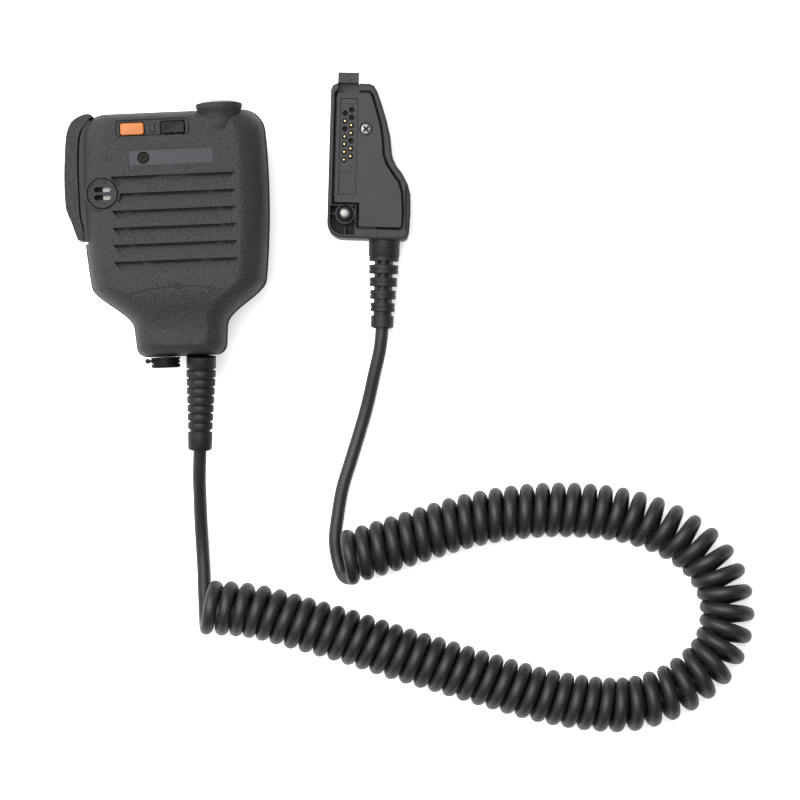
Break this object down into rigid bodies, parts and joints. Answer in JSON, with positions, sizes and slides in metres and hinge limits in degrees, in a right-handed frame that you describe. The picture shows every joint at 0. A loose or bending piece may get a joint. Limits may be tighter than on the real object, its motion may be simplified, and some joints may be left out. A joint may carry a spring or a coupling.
{
  "type": "hand microphone",
  "caption": "Hand-held speaker microphone with talk bar, keys, belt clip, curly cord and a multi-contact side plug for a two-way radio.",
  "frame": {"origin": "middle of the microphone on the surface it lies on, under its belt clip", "axes": "+Y towards the top of the microphone, +Z out of its front face, +X to its right; the cord and its plug lie beside it on the same surface"},
  "size_m": [0.2414, 0.2427, 0.0442],
  "materials": {
    "case_plastic": "fine leather-like moulded grain",
    "black_plastic": "satin moulded",
    "rubber": "matt",
    "orange_plastic": "satin, slightly translucent",
    "grey_plastic": "satin",
    "lens": "smoked",
    "steel": "nickel plated",
    "gold": "gold plated, polished",
    "board": "green solder mask",
    "cone": "pressed paper",
    "clip_metal": "black powder coat",
    "cord": "smooth satin jacket"
  },
  "bodies": {
    "microphone": {"front_shell": "case_plastic", "rear_shell": "case_plastic", "microphone_port": "case_plastic", "button_collar": "case_plastic", "plug_shell": "case_plastic", "plug_cover": "case_plastic", "label_plate": "case_plastic", "button_bezel": "black_plastic", "indicator_ring": "black_plastic", "jack_socket": "black_plastic", "contact_block": "black_plastic", "ptt_switch": "black_plastic", "top_switch": "black_plastic", "clip_boss": "black_plastic", "speaker_basket": "black_plastic", "shell_gasket": "rubber", "capsule_boot": "rubber", "speaker_gasket": "rubber", "plug_seal": "rubber", "mic_strain_relief": "rubber", "plug_strain_relief": "rubber", "led_lens": "lens", "case_screws": "steel", "ptt_pin": "steel", "clip_screw": "steel", "plug_screw": "steel", "microphone_mesh": "steel", "microphone_capsule": "steel", "speaker_magnet": "steel", "button_switches": "steel", "circuit_board": "board", "button_board": "board", "plug_board": "board", "speaker_cone": "cone", "cord_mic_lead": "cord", "cord_coil": "cord", "cord_plug_lead": "cord"},
    "clip_swivel": {"clip_base": "clip_metal", "clip_pin": "steel", "clip_spring": "steel"},
    "clip_jaw": {"clip_arm": "clip_metal"},
    "talk_bar": {"ptt_bar": "case_plastic", "ptt_boot": "rubber"},
    "orange_key": {"orange_button": "orange_plastic"},
    "black_key": {"black_button": "black_plastic"},
    "round_key": {"top_button": "grey_plastic"},
    "jack_cover": {"jack_cap": "rubber"},
    "plug_thumb_screw": {"thumb_screw": "steel", "retaining_ring": "steel"},
    "spring_contacts": {"contact_pins": "gold"}
  },
  "joints": [
    {"name": "talk_bar_press", "type": "hinge", "parent": "microphone", "child": "talk_bar", "pos_m": [-0.0245, 0.037, 0.0245], "axis": [0, 0, 1], "range_deg": [0, 2.5], "stiffness_Nm_per_rad": 1, "springref_deg": -2.86},
    {"name": "orange_key_press", "type": "slide", "parent": "microphone", "child": "orange_key", "axis": [0, 0, -1], "range_m": [0, 0.0008], "stiffness_N_per_m": 100, "springref_m": -0.0005},
    {"name": "black_key_press", "type": "slide", "parent": "microphone", "child": "black_key", "axis": [0, 0, -1], "range_m": [0, 0.0008], "stiffness_N_per_m": 100, "springref_m": -0.0005},
    {"name": "round_key_press", "type": "slide", "parent": "microphone", "child": "round_key", "axis": [0, -1, 0], "range_m": [0, 0.0008], "stiffness_N_per_m": 100, "springref_m": -0.0005},
    {"name": "jack_cover_hinge", "type": "hinge", "parent": "microphone", "child": "jack_cover", "pos_m": [-0.0094, -0.0444, 0.0234], "axis": [0, 0, 1], "range_deg": [-110, 0]},
    {"name": "clip_swivel_turn", "type": "hinge", "parent": "microphone", "child": "clip_swivel", "pos_m": [0.003, 0.008, 0.0082], "axis": [0, 0, 1], "continuous": true},
    {"name": "clip_jaw_open", "type": "hinge", "parent": "clip_swivel", "child": "clip_jaw", "pos_m": [0.003, 0.0174, 0.0052], "axis": [1, 0, 0], "range_deg": [0, 12], "stiffness_Nm_per_rad": 0.5, "springref_deg": -17.19},
    {"name": "thumb_screw_turn", "type": "hinge", "parent": "microphone", "child": "plug_thumb_screw", "pos_m": [0.06324, 0.00594, 0.01], "axis": [0, 0, 1], "continuous": true},
    {"name": "contacts_press", "type": "slide", "parent": "microphone", "child": "spring_contacts", "axis": [0, 0, -1], "range_m": [0, 0.0006], "stiffness_N_per_m": 100, "springref_m": -0.0005}
  ]
}
